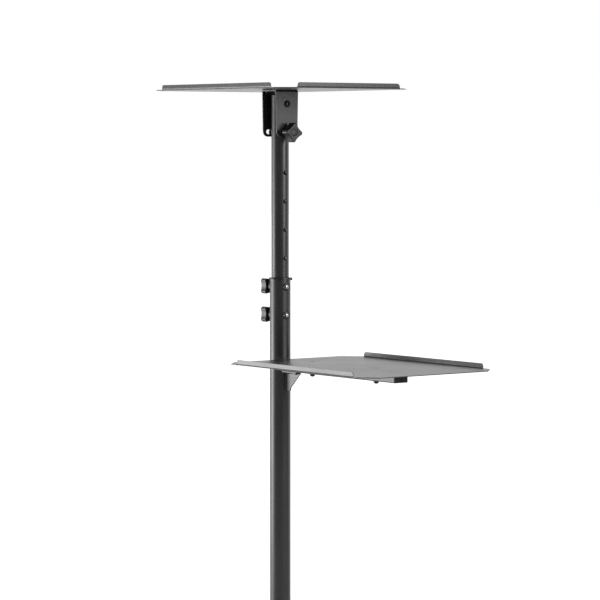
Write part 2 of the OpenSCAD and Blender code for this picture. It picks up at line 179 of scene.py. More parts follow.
def spun(bm, geom, angle, steps, cent=(0, 0, 0), axis=(0, 0, 1), merge=False):
    """Spins part of a shape round an axis, and gives back what it ends with"""
    return bmesh.ops.spin(
        bm, geom=geom, cent=cent, axis=axis, dvec=(0, 0, 0), angle=angle, steps=steps,
        use_merge=merge, use_normal_flip=False, use_duplicate=False,
    )["geom_last"]


def turned(profile, steps=48, hollow=False):
    """Spins a profile of (radius, height) round Z; a hollow one joins its last point to its first"""
    bm = bmesh.new()
    verts = [bm.verts.new((radius, 0, height)) for radius, height in profile]
    edges = [bm.edges.new(pair) for pair in zip(verts, verts[1:])]
    if hollow:
        edges.append(bm.edges.new((verts[-1], verts[0])))
    spun(bm, verts + edges, FULL, steps, merge=True)
    bmesh.ops.remove_doubles(bm, verts=bm.verts, dist=0.001)
    return bm


def rod(radius, low, high, steps, chamfer=0):
    """A cylinder along Z; a chamfer at its lower end takes 0.2 off its radius"""
    start = [(radius - 0.2, low), (radius, low + chamfer)] if chamfer else [(radius, low)]
    return turned([(0, low), *start, (radius, high), (0, high)], steps)


def ring(bm, sides, radius, place):
    return bmesh.ops.create_circle(
        bm, cap_ends=False, segments=sides, radius=radius, matrix=place,
    )["verts"]


def skinned(bm, loops, hollow=False):
    """Bridges loops of edges one by one, then closes the ends or joins the last loop to the first"""
    for lower, upper in zip(loops, loops[1:]):
        bmesh.ops.bridge_loops(bm, edges=lower + upper)
    if hollow:
        bmesh.ops.bridge_loops(bm, edges=loops[-1] + loops[0])
    else:
        for loop in (loops[0], loops[-1]):
            bmesh.ops.edgeloop_fill(bm, edges=loop)
    return bm


def stacked(rings, hollow=False):
    """A skin over rings of (sides, radius, height), such as a hexagon below a circle"""
    bm = bmesh.new()
    loops = [
        edges_of(ring(bm, sides, radius, at(z=height) @ turn(180 / sides, "Z")))
        for sides, radius, height in rings
    ]
    return skinned(bm, loops, hollow)


def fold_out(bm, root, centre, axis, steps, reach):
    """Bends a flange off a sheet's edge and draws it out; gives back the vertices at its end"""
    last = first_in(spun(bm, [*root.verts, root], QUARTER, steps, centre, axis), bmesh.types.BMEdge)
    tips = verts_in(bmesh.ops.extrude_edge_only(bm, edges=[last])["geom"])
    bmesh.ops.translate(bm, vec=reach, verts=tips)
    return tips


def thicken(bm, way, thickness, edge):
    """Gives a folded sheet its thickness, away from the way that its main face looks"""
    way = Vector(way)
    bmesh.ops.recalc_face_normals(bm, faces=bm.faces)
    main_face = max(bm.faces, key=lambda f: abs(f.normal.dot(way)) * f.calc_area())
    if main_face.normal.dot(way) < 0:
        bmesh.ops.reverse_faces(bm, faces=bm.faces)
    bmesh.ops.solidify(bm, geom=bm.faces[:], thickness=thickness)
    round_off(bm, sharp_edges(bm), edge)


def add(target, part, place=Matrix()):
    """Puts a finished shape into another at its place, with its faces pointing outwards"""
    bmesh.ops.recalc_face_normals(part, faces=part.faces)
    part.transform(place)
    if place.determinant() < 0:
        bmesh.ops.reverse_faces(part, faces=part.faces)
    mesh = bpy.data.meshes.new("part")
    part.to_mesh(mesh)
    part.free()
    target.from_mesh(mesh)
    bpy.data.meshes.remove(mesh)


def joined(*parts):
    """One shape from several, each given alone or together with its place"""
    bm = bmesh.new()
    for part in parts:
        add(bm, *(part if isinstance(part, tuple) else (part,)))
    return bm


def as_object(bm, name):
    mesh = bpy.data.meshes.new(name)
    bm.to_mesh(mesh)
    bm.free()
    thing = bpy.data.objects.new(name, mesh)
    bpy.context.scene.collection.objects.link(thing)
    return thing


def cut_away(bm, cutters):
    """Cuts closed shapes out of a closed shape, and gives back what is left"""
    bmesh.ops.recalc_face_normals(bm, faces=bm.faces)
    body, tool = as_object(bm, "shape"), as_object(joined(*cutters), "shape")
    modifier = body.modifiers.new("cut", "BOOLEAN")
    modifier.operation = "DIFFERENCE"
    modifier.solver = "EXACT"
    modifier.use_self = True
    modifier.object = tool
    bpy.context.view_layer.update()
    left = bmesh.new()
    left.from_object(body, bpy.context.evaluated_depsgraph_get())
    for thing in (body, tool):
        mesh = thing.data
        bpy.data.objects.remove(thing)
        bpy.data.meshes.remove(mesh)
    bmesh.ops.dissolve_degenerate(left, edges=left.edges, dist=0.0005)
    return left


def piece(name, parts, slot, node, body="base", coat=None):
    """Makes an object of its parts, hangs it on the empty of the body that it rides on, and hides the CAD
    node that it stands for
    """
    bm = joined(*parts)
    if not bm.faces:
        raise RuntimeError(f"{name} has no faces")
    bm.transform(at(POLE_X) @ Matrix.Scale(MM, 4))
    flattest = math.radians(SMOOTH_BELOW)
    for face in bm.faces:
        face.smooth = True
    for edge in bm.edges:
        edge.smooth = len(edge.link_faces) == 2 and edge.calc_face_angle() < flattest
    thing = as_object(bm, name)
    thing.data.materials.append(finish(coat or SLOT_FINISH[slot]))
    normals = thing.modifiers.new("Even normals", "WEIGHTED_NORMAL")
    normals.keep_sharp = True
    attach(thing, body)
    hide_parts(node)


# ---- materials ----

def wire(tree, node, inputs):
    """Links each input of a node to a socket, or gives it a value"""
    for name, value in inputs.items():
        if isinstance(value, bpy.types.NodeSocket):
            tree.links.new(value, node.inputs[name])
        else:
            node.inputs[name].default_value = value


def new_node(tree, kind, inputs, **settings):
    node = tree.nodes.new("ShaderNode" + kind)
    for name, value in settings.items():
        setattr(node, name, value)
    wire(tree, node, inputs)
    return node


def calculated(tree, operation, first, second):
    return new_node(tree, "Math", {0: first, 1: second}, operation=operation).outputs[0]


def shader_tree(name):
    """A new material, its node tree and its main shader"""
    material = bpy.data.materials.new(name)
    material.use_nodes = True
    tree = material.node_tree
    return material, tree, tree.nodes["Principled BSDF"]


def noise(tree, scale, detail=2.0, stretch=(1, 1, 1)):
    """Noise on the object's own coordinates; its scale is in features a metre"""
    where = new_node(tree, "TexCoord", {}).outputs["Object"]
    mapping = new_node(tree, "Mapping", {"Vector": where, "Scale": stretch}).outputs["Vector"]
    inputs = {"Vector": mapping, "Scale": scale, "Detail": detail}
    return new_node(tree, "TexNoise", inputs).outputs["Fac"]


def spread(tree, value, low, high, start=0.3, end=0.7, kind="LINEAR"):
    """Maps a value from start..end to low..high"""
    inputs = {"Value": value, "From Min": start, "From Max": end, "To Min": low, "To Max": high}
    return new_node(tree, "MapRange", inputs, interpolation_type=kind).outputs["Result"]


def blended(tree, factor, first, second):
    """A colour between two, by a factor; the mix node's colours are its inputs 6 and 7 and output 2"""
    colours = [c if isinstance(c, bpy.types.NodeSocket) else (*c, 1) for c in (first, second)]
    inputs = {0: factor, 6: colours[0], 7: colours[1]}
    return new_node(tree, "Mix", inputs, data_type="RGBA").outputs[2]


def bumped(tree, height, distance, strength):
    inputs = {"Height": height, "Distance": distance, "Strength": strength}
    return new_node(tree, "Bump", inputs).outputs["Normal"]


def lighter(colour, times):
    return tuple(min(1.0, part * times) for part in colour)


def coated(name, colour, grain, gloss):
    """Satin powder coat: a fine pebbled film, faint clouds in its tone and gloss, and pale specks"""
    material, tree, shader = shader_tree(name)
    film = noise(tree, grain, 3)
    clouds = noise(tree, 9, 4)
    speck = noise(tree, grain * 0.35, 2)
    tone = blended(tree, spread(tree, clouds, 0, 1), colour, lighter(colour, 1.7))
    broad = spread(tree, clouds, gloss - 0.03, gloss + 0.04)
    wire(tree, shader, {
        "Base Color": blended(tree, spread(tree, speck, 0, 0.5, 0.55, 0.75), tone, lighter(colour, 3)),
        "Roughness": calculated(tree, "ADD", broad, spread(tree, film, -0.02, 0.03)),
        "Normal": bumped(tree, film, 0.0002, 0.16),
        "Specular IOR Level": 1.0,
    })
    return material


def moulded(name, colour, gloss, texture):
    """Injection-moulded plastic: a fine spark-eroded skin with an uneven gloss"""
    material, tree, shader = shader_tree(name)
    skin = noise(tree, texture, 2)
    rubbed = noise(tree, 45, 3)
    flow = noise(tree, 60, 2, (1, 1, 0.25))
    wire(tree, shader, {
        "Base Color": blended(tree, spread(tree, flow, 0, 1), colour, lighter(colour, 1.6)),
        "Roughness": spread(tree, rubbed, gloss - 0.07, gloss + 0.06),
        "Normal": bumped(tree, skin, 0.00012, 0.2),
        "Specular IOR Level": 0.75,
    })
    return material


def tread(name, colour):
    """Hard wheel plastic: dull and scuffed, with pale dust ground into it"""
    material, tree, shader = shader_tree(name)
    scuff = noise(tree, 400, 4, (0.25, 1, 1))
    dust = noise(tree, 130, 5)
    dust_colour = (0.16, 0.155, 0.145)
    wire(tree, shader, {
        "Base Color": blended(tree, spread(tree, dust, 0, 0.6, 0.45, 0.75), colour, dust_colour),
        "Roughness": spread(tree, dust, 0.5, 0.72),
        "Normal": bumped(tree, scuff, 0.00025, 0.35),
    })
    return material


def metal(name, colour, low, high, scale, stretch):
    """Bare or blackened metal, with drawn lines and a varied gloss"""
    material, tree, shader = shader_tree(name)
    lines = noise(tree, scale, 3, stretch)
    stain = noise(tree, 70, 3)
    wire(tree, shader, {
        "Base Color": blended(tree, spread(tree, stain, 0, 1), colour, lighter(colour, 0.78)),
        "Roughness": spread(tree, lines, low, high),
        "Normal": bumped(tree, lines, 0.00008, 0.25),
        "Metallic": 1.0,
    })
    return material


SLOT_FINISH = {
    "frame_steel": "powder_coat", "shelf_sheet": "shelf_coat", "black_plastic": "moulded_plastic",
    "wheel_plastic": "wheel_tread", "black_fasteners": "black_oxide", "zinc_steel": "bright_zinc",
}


def finish(name):
    """One of the trolley's finishes, made the first time that it is asked for"""
    made = bpy.data.materials.get(name)
    if made:
        return made
    colours = bpy.context.scene.trolley_colours
    grain = 1 / bpy.context.scene.trolley_sizes.grain
    makers = {
        "powder_coat": lambda: coated(name, colours.coat, grain, 0.36),
        "shelf_coat": lambda: coated(name, colours.shelf_coat, grain, 0.33),
        "moulded_plastic": lambda: moulded(name, colours.plastic, 0.36, 2400),
        "wheel_tread": lambda: tread(name, colours.tread),
        "black_oxide": lambda: metal(name, colours.oxide, 0.32, 0.48, 1500, (1, 1, 1)),
        "bright_zinc": lambda: metal(name, colours.zinc, 0.26, 0.42, 900, (1, 6, 6)),
    }
    return makers[name]()


# ---- hardware that several groups use ----

def hex_nut(radius, height, bore):
    """A hexagon nut with its corners chamfered and a threaded hole"""
    flat, edge = radius * 0.87, radius * 0.1
    return stacked([
        (24, bore, 0), (24, flat * 0.97, 0), (6, radius, edge), (6, radius, height - edge),
        (24, flat * 0.97, height), (24, bore, height), (24, bore * 0.9, height * 0.5),
    ], hollow=True)


def hex_bolt_head(radius, height):
    """A solid hexagon head, chamfered above, on its washer face"""
    flat = radius * 0.87
    return stacked([
        (24, flat * 0.96, 0), (24, flat * 0.96, 0.4), (6, radius, 0.5),
        (6, radius, height - radius * 0.12), (24, flat * 0.95, height),
    ])


def socket_head(radius, height, socket, deep):
    """A low domed head with a hexagon socket"""
    return stacked([
        (36, radius * 0.96, 0), (36, radius, height * 0.12), (36, radius * 0.97, height * 0.38),
        (36, radius * 0.86, height * 0.7), (36, radius * 0.68, height * 0.92),
        (36, socket * 1.22, height), (6, socket * 1.04, height), (6, socket, height - 0.35),
        (6, socket, height - deep),
    ])


def flush_head(shank, radius, socket):
    """A countersunk head that ends level with a shelf's sheet, with a hexagon socket"""
    return stacked([
        (36, shank, 0), (36, radius - 0.1, SHEET - 0.15), (36, radius - 0.2, SHEET),
        (36, socket * 1.25, SHEET), (6, socket * 1.04, SHEET), (6, socket, SHEET - 0.3),
        (6, socket, SHEET - 1.1),
    ])


def threaded(radius, length):
    """A threaded rod along Z with chamfered ends; its turns are rings, which look the same here"""
    pitch, depth = 1.25, 0.55
    root = radius - depth
    profile = [(0, 0), (root, 0)]
    for i in range(max(1, int((length - pitch) / pitch))):
        base = pitch / 2 + i * pitch
        profile += [(root, base), (radius, base + pitch * 0.4), (radius, base + pitch * 0.6)]
    return turned(profile + [(root, length - 0.3), (root - 0.3, length), (0, length)], 28)


def washer(radius, bore, thick):
    edge = min(0.3, thick / 3)
    return turned([
        (bore, 0), (radius - edge, 0), (radius, edge), (radius, thick - edge),
        (radius - edge, thick), (bore, thick),
    ], 40, hollow=True)


def weld_ring(radius, size, steps=72):
    """A rippled fillet weld round a tube, lying on z = 0"""
    inside = radius - 0.6
    bm = turned([
        (inside, 0), (radius + size, 0), (radius + size * 0.45, size * 0.5), (inside, size),
    ], steps, hollow=True)
    for vert in bm.verts:
        if math.hypot(vert.co.x, vert.co.y) > radius:
            angle = math.atan2(vert.co.y, vert.co.x)
            swell = 1 + 0.012 * math.sin(angle * 26) + 0.008 * math.sin(angle * 7 + 1)
            vert.co.xy = vert.co.xy * swell
    return bm


def weld_line(length, size):
    """A rippled fillet weld along X from 0, in the corner between -Y and -Z"""
    steps = max(8, int(length * 1.2))
    bm = bmesh.new()
    face = outlined(bm, (
        (0, -0.6, -0.6), (0, size, -0.6), (0, size * 0.5, size * 0.5), (0, -0.6, size),
    ))
    for _ in range(steps):
        made = bmesh.ops.extrude_face_region(bm, geom=[face])["geom"]
        bmesh.ops.translate(bm, vec=(length / steps, 0, 0), verts=verts_in(made))
        face = first_in(made, bmesh.types.BMFace)
    for vert in bm.verts:
        if max(vert.co.y, vert.co.z) > 0.1 * size:
            vert.co.yz = vert.co.yz * (1 + 0.1 * math.sin(vert.co.x * 2.9))
    return bm


def box_tube(low, high, axis, corner):
    """A rectangular steel tube with rounded long edges, open at both ends"""
    wall = 1.5
    bm = block(low, high, corner, 4, only=axis)
    ends = [f for f in bm.faces if abs(f.normal[axis]) > 0.9]
    bmesh.ops.delete(bm, geom=ends, context="FACES_ONLY")
    bmesh.ops.recalc_face_normals(bm, faces=bm.faces)
    bmesh.ops.solidify(bm, geom=bm.faces[:], thickness=wall)
    return bm


def tube_plug(width, height, flange):
    """A moulded plug for a rectangular tube: a grooved face towards +X and a plain body behind it"""
    half, inset, deep = width / 2, 1.7, 12
    shell = block((0, -half, 0), (flange, half, height), 0.7, 3)
    grooves = [block((flange - 0.9, -0.6, 2), (flange + 1, 0.6, height - 2))]
    for z in (height / 4, height / 2, height * 3 / 4):
        grooves.append(block((flange - 0.6, 3 - half, z - 0.5), (flange + 1, half - 3, z + 0.5)))
    body = block((-deep, inset - half, inset), (0.2, half - inset, height - inset), 0.8)
    return joined(cut_away(shell, grooves), body)


def star_knob(height):
    """A star knob along Z: a hub, then four lobes with a rounded rim, a domed face and a raised cap"""
    lobes, hub_r, hub_h = 4, 8, 2
    half = math.pi / lobes
    star_h = height - hub_h
    sides = lobes * 28
    scallop_at, scallop_r = 40, 27.5

    def reach(angle):
        """How far the outline is from the axis, at an angle"""
        to_scallop = half - abs((angle + half) % (2 * half) - half)
        inside = scallop_r ** 2 - (scallop_at * math.sin(to_scallop)) ** 2
        edge = scallop_at * math.cos(to_scallop) - math.sqrt(inside) if inside > 0 else KNOB_R
        return 1 / (min(KNOB_R, edge) ** -14 + (KNOB_R * 1.015) ** -14) ** (1 / 14)

    bm = bmesh.new()
    loops = []
    for up, grow in (
        (0, -2.4), (0.2, -1.1), (0.7, -0.35), (1.4, 0.0), (star_h - 2.6, 0.0), (star_h - 1.5, -0.15),
        (star_h - 0.7, -0.6), (star_h - 0.2, -1.4), (star_h, -3.0),
    ):
        verts = ring(bm, sides, 1, at(z=hub_h + up))
        for vert in verts:
            vert.co.xy = vert.co.xy * (reach(math.atan2(vert.co.y, vert.co.x)) + grow)
        loops.append(edges_of(verts))
    for radius, up in ((6.6, 0.985), (6.2, 0.93), (5.8, 0.985), (4.4, 1), (1.6, 1)):
        loops.append(edges_of(ring(bm, sides, radius, at(z=hub_h + star_h * up))))
    hub = turned([
        (0, 0), (hub_r - 0.7, 0), (hub_r, 0.7), (hub_r, hub_h - 0.6), (hub_r + 0.8, hub_h + 0.4),
        (0, hub_h + 0.4),
    ], 56)
    return joined(skinned(bm, loops), hub)


def folded_shelf(width, depth, lip, lips):
    """
    A shelf of folded sheet with its corners cut, and a relief beside each bend.
    lips gives each lip's side, and how far its left and right end are from the sheet's corners.
    """
    cut, slope, bend = 30, 1.5, 3.4
    bm = bmesh.new()
    outline, roots = [], []
    for side in range(4):
        half, edge = (width / 2, depth / 2) if side % 2 == 0 else (depth / 2, width / 2)
        stops = [(-half + cut, -edge), (half - cut, -edge)]
        if side in lips:
            start, end = lips[side]
            stops[1:1] = [
                (-half + start, -edge), (-half + start, -edge + bend),
                (half - end, -edge + bend), (half - end, -edge),
            ]
        quarter = Matrix.Rotation(side * QUARTER, 4, "Z")
        corners = [bm.verts.new(quarter @ Vector((u, v, 0))) for u, v in stops]
        if side in lips:
            roots.append((corners[2:4], quarter, quarter @ Vector((0, bend - edge, bend))))
        outline += corners
    bm.faces.new(reversed(outline))
    for ends, quarter, centre in roots:
        root = bm.edges.get(ends)
        tips = fold_out(bm, root, centre, quarter @ Vector((-1, 0, 0)), 7, (0, 0, lip - bend))
        for vert in tips:
            local = quarter.inverted() @ vert.co
            local.x -= math.copysign(slope, local.x)
            vert.co = quarter @ local
        round_corners(bm, tips, 3, 5)
    thicken(bm, (0, 0, -1), SHEET, 0.35)
    return bm


def drilled_shelf(node, lips, spots, hole_r, sink_r, steps):
    """A shelf in its place, with a countersunk hole at each spot"""
    low, high = limits(node)
    size, centre = high - low, (low + high) / 2
    sinks = []
    for x, y in spots:
        sink = turned([
            (0, -1), (hole_r, -1), (hole_r, 0.05), (sink_r, SHEET), (sink_r, SHEET + 1), (0, SHEET + 1),
        ], steps)
        sinks.append((sink, at(x - centre.x, y - centre.y)))
    sheet = folded_shelf(size.x, size.y, size.z, lips)
    return [(cut_away(sheet, sinks), at(centre.x, centre.y, low.z))]


# ---- settings ----

class TrolleySizes(bpy.types.PropertyGroup):
    """Sizes of details that the CAD model leaves to this script"""

    grain: FloatProperty(
        name="Coat grain", description="Size of one pebble in the powder coat",
        default=0.0007, min=0.0002, max=0.003, unit="LENGTH",
    )
    tube_corner: FloatProperty(
        name="Tube corner", description="Outside corner radius of the rectangular tubes",
        default=0.0022, min=0.001, max=0.004, unit="LENGTH",
    )
    weld: FloatProperty(
        name="Weld", description="Width of a weld bead",
        default=0.003, min=0.002, max=0.005, unit="LENGTH",
    )
    wheel_spokes: IntProperty(
        name="Wheel pockets", description="Pockets in the side of each castor wheel",
        default=8, min=4, max=12,
    )
    floor_size: FloatProperty(
        name="Floor size", description="Width of the studio floor",
        default=60.0, min=10.0, max=100.0, unit="LENGTH",
    )


class TrolleyColours(bpy.types.PropertyGroup):
    """Colours of the trolley's finishes"""

    coat: FloatVectorProperty(
        name="Coat", description="Powder coat of the tubes and brackets",
        default=(0.0075, 0.0075, 0.0082), subtype="COLOR", min=0, max=1,
    )
    shelf_coat: FloatVectorProperty(
        name="Shelf coat", description="Powder coat of the two shelves",
        default=(0.0085, 0.0085, 0.0092), subtype="COLOR", min=0, max=1,
    )
    plastic: FloatVectorProperty(
        name="Plastic", description="Moulded plastic of knobs, plugs and castor bodies",
        default=(0.006, 0.006, 0.0065), subtype="COLOR", min=0, max=1,
    )
    tread: FloatVectorProperty(
        name="Wheels", description="Plastic of the castor wheels",
        default=(0.035, 0.035, 0.036), subtype="COLOR", min=0, max=1,
    )
    oxide: FloatVectorProperty(
        name="Black fasteners", description="Black oxide on bolts and nuts",
        default=(0.05, 0.05, 0.053), subtype="COLOR", min=0, max=1,
    )
    zinc: FloatVectorProperty(
        name="Zinc", description="Zinc plate of studs and stems",
        default=(0.62, 0.63, 0.65), subtype="COLOR", min=0, max=1,
    )
    floor: FloatVectorProperty(
        name="Floor", description="Studio floor",
        default=(0.78, 0.78, 0.78), subtype="COLOR", min=0, max=1,
    )


# ---- operators ----

class TROLLEY_OT_base(bpy.types.Operator):
    """Model the legs, crossbar, their end caps and the pole's foot"""

    bl_idname = "trolley.base"
    bl_label = "Base frame"

    def execute(self, context):
        corner = context.scene.trolley_sizes.tube_corner / MM
        weld = context.scene.trolley_sizes.weld / MM
        cap_face = limits("leg_end_caps")[1].y
        caps = []
        for side in ("left", "right"):
            node = f"base_leg_{side}"
            low, high = limits(node)
            piece(f"leg_{side}", [box_tube(low, high, 1, corner)], "frame_steel", node)
            for y, angle in ((high.y, 90), (low.y, -90)):
                plug = tube_plug(high.x - low.x, high.z - low.z, cap_face - high.y)
                caps.append((plug, at(middle(node).x, y, low.z) @ turn(angle, "Z")))

        low, high = limits("base_crossbar")
        bar = [box_tube(low, high, 0, corner)]
        for x, flip in ((low.x, 1), (high.x, -1)):
            for y, outwards in ((low.y, -1), (high.y, 1)):
                bead = weld_line(high.z - low.z - 2 * corner, weld)
                bar.append((bead, at(x, y, low.z + corner) @ mirrored(flip, outwards) @ UPRIGHT))
        piece("crossbar", bar, "frame_steel", "base_crossbar")
        piece("leg_caps", caps, "black_plastic", "leg_end_caps")
        self.foot(weld)
        return {"FINISHED"}

    def foot(self, weld):
        """The pole's foot: a bolted plate, two ribs and the welds round the tube"""
        low, high = limits("pole_foot")
        top = limits("lower_tube")[0].z
        inside, rib_t = TUBE_R - 0.6, 4
        plate = block(low, (high.x, high.y, top), 8, 6, only=2)
        round_off(plate, sharp_edges(plate), 0.5)
        parts = [plate]
        for side in (1, -1):
            rib = bmesh.new()
            face = outlined(rib, [(x, -rib_t / 2, z) for x, z in (
                (inside, top - 0.2), (high.x - 6, top - 0.2), (high.x - 8, top + 4),
                (TUBE_R + 4, high.z), (inside, high.z),
            )])
            made = bmesh.ops.extrude_face_region(rib, geom=[face])["geom"]
            bmesh.ops.translate(rib, vec=(0, rib_t, 0), verts=verts_in(made))
            round_off(rib, rib.edges[:], 0.5)
            parts.append((rib, turn(0 if side > 0 else 180, "Z")))
            for flip in (1, -1):
                bead = weld_line(high.x - TUBE_R - 9, weld * 0.8)
                place = at(side * (TUBE_R + 1), flip * rib_t / 2, top) @ mirrored(side, flip)
                parts.append((bead, place))
        parts.append((weld_ring(TUBE_R, weld), at(z=top)))
        piece("foot", parts, "frame_steel", "pole_foot")

        high = limits("foot_bolts")[1]
        washer_t = 0.9
        x, y = high.x - 5.5, high.y - 4.76
        parts = []
        for u in (-x, x):
            for v in (-y, y):
                spot = at(u, v, top)
                head = hex_bolt_head(5.6, high.z - top - washer_t)
                shank = rod(3, -14, 0.5, 24, chamfer=0.6)
                parts += [
                    (washer(6.6, 3.1, washer_t), spot),
                    (head, spot @ at(z=washer_t) @ turn(u * 3 + v, "Z")), (shank, spot),
                ]
        piece("foot_screws", parts, "black_fasteners", "foot_bolts")


class TROLLEY_OT_castors(bpy.types.Operator):
    """Model the four twin-wheel castors, their stems and the two brake levers"""

    bl_idname = "trolley.castors"
    bl_label = "Castors"

    def execute(self, context):
        pockets = context.scene.trolley_sizes.wheel_spokes
        stem_top = limits("castor_stems")[1].z
        stems, levers = [], []
        for corner in ("front_left", "front_right", "rear_left", "rear_right"):
            boss_top = limits(f"castor_{corner}")[1].z
            low, high = limits(f"wheels_{corner}")
            axle, radius = (low + high) / 2, (high.z - low.z) / 2
            swivel = at(axle.x, axle.y + 13)
            body = self.body(axle, swivel, radius, boss_top)
            piece(f"castor_body_{corner}", body, "black_plastic", f"castor_{corner}")
            wheels = self.wheels(axle, radius, high.x - axle.x, pockets)
            piece(f"castor_wheels_{corner}", wheels, "wheel_plastic", f"wheels_{corner}")
            stems += self.stem(swivel, boss_top, stem_top)
            if corner.startswith("rear"):
                levers += self.lever(axle, radius)
        piece("castor_stem_set", stems, "zinc_steel", "castor_stems")
        piece("brake_lever_pair", levers, "black_plastic", "brake_levers")
        return {"FINISHED"}

    def body(self, axle, swivel, wheel_r, top):
        """One castor's moulded hood, its middle web and its swivel boss"""
        half, inner, outer = 20, wheel_r + 1.5, wheel_r + 4
        web_r, boss_r = wheel_r - 4, 11
        upper = [
            (outer - 0.5, 3.6), (outer, 4.2), (outer, half - 1.8), (outer - 0.5, half - 0.5),
            (outer - 1.6, half), (inner, half),
        ]
        section = [(radius, -along) for radius, along in reversed(upper)] + upper
        hood = bmesh.new()
        start = outlined(hood, [(radius, 0, along) for radius, along in section])
        spun(hood, [start], math.radians(192), 44)
        web = turned([
            (0, -4), (web_r - 0.8, -4), (web_r, -3.2), (web_r, 3.2), (web_r - 0.8, 4), (0, 4),
        ], 56)
        bridge = block(axle - Vector((4, 12, 0)), axle + Vector((4, 20, inner + 1)), 0.6)
        boss = turned([
            (0, 22), (boss_r - 2, 22), (boss_r, 27), (boss_r, top - 1.2), (boss_r - 1.2, top), (5.3, top),
            (5.1, top - 0.6), (5.1, top - 9), (0, top - 9),
        ], 48)
        # The hood starts just under the axle, on the +Y side
        about = at(*axle) @ ABOUT_X
        return [(hood, about @ turn(-6, "Z")), (web, about), bridge, (boss, swivel)]

    def wheels(self, axle, radius, outside, pockets):
        """A pair of wheels on their axle, with pockets in each outer side"""
        inner, rim, hub = 5, radius - 6, 9.4
        # Each pocket takes all but one of the faces in its part of the ring between hub and rim
        share = 6
        steps = pockets * share
        about = at(*axle) @ ABOUT_X
        parts = [(rod(3, -inner - 1, inner + 1, 28), about)]
        for flip in (1, -1):
            wheel = turned([
                (3.1, inner), (radius - 2.4, inner), (radius - 0.8, inner + 0.5),
                (radius - 0.15, inner + 1.8), (radius, inner + 5), (radius, outside - 4.5),
                (radius - 0.2, outside - 2), (radius - 1, outside - 0.6), (radius - 2.4, outside),
                (radius - 4.2, outside), (radius - 5, outside - 1.2), (rim, outside - 1.4),
                (hub, outside - 1.4), (8.6, outside - 0.6), (7.4, outside - 0.1), (5.4, outside),
                (4.6, outside - 0.5), (0, outside - 0.6),
            ], steps)
            sectors = [[] for _ in range(pockets)]
            for face in wheel.faces:
                x, y, z = face.calc_center_median()
                if hub + 0.1 < math.hypot(x, y) < rim - 0.1 and z > outside - 2:
                    slot = int((math.atan2(y, x) % FULL) / FULL * steps)
                    if slot % share:
                        sectors[slot // share].append(face)
            for sector in filter(None, sectors):
                for thickness, depth in ((0.7, 0), (0.5, -2.2)):
                    bmesh.ops.inset_region(
                        wheel, faces=sector, thickness=thickness, depth=depth,
                        use_even_offset=True, use_boundary=True,
                    )
            parts.append((wheel, about @ mirrored(z=flip)))
        return parts

    def stem(self, swivel, boss_top, top):
        """The stem with its collar and the plate under the leg"""
        plate_r, under = 17, top - 2.5
        shaft = turned([
            (0, boss_top - 8.5), (4.4, boss_top - 8.5), (5, boss_top - 7.8), (5, top - 2), (0, top - 2),
        ], 32)
        plate = turned([
            (4.9, under), (plate_r - 0.5, under), (plate_r, top - 2), (plate_r, top - 0.5),
            (plate_r - 0.5, top), (4.9, top),
        ], 56, hollow=True)
        parts = [(shaft, swivel), (hex_bolt_head(9, 2.4), swivel @ at(z=boss_top + 0.2)), (plate, swivel)]
        for angle in (45, 135, 225, 315):
            head = turned([(0, 0), (2.6, 0), (2.6, 0.5), (1.9, 1.2), (0, 1.5)], 20)
            parts.append((head, swivel @ turn(angle, "Z") @ at(12.6, 0, under) @ DOWN))
        return parts

    def lever(self, axle, wheel_r):
        """A foot lever with three grip ridges"""
        low, high = limits("brake_levers")
        x, half, inset = axle.x, 11, 2
        parts = [block((x - half, low.y, low.z), (x + half, axle.y - wheel_r - 1.8, high.z), 1.2, 3)]
        half -= inset
        for y in (low.y + 1.4, low.y + 3.3, low.y + 5.2):
            ridge = ((x - half, y - 0.4, high.z - 0.4), (x + half, y + 0.4, high.z + 0.5))
            parts.append(block(*ridge, 0.2, 1))
        return parts


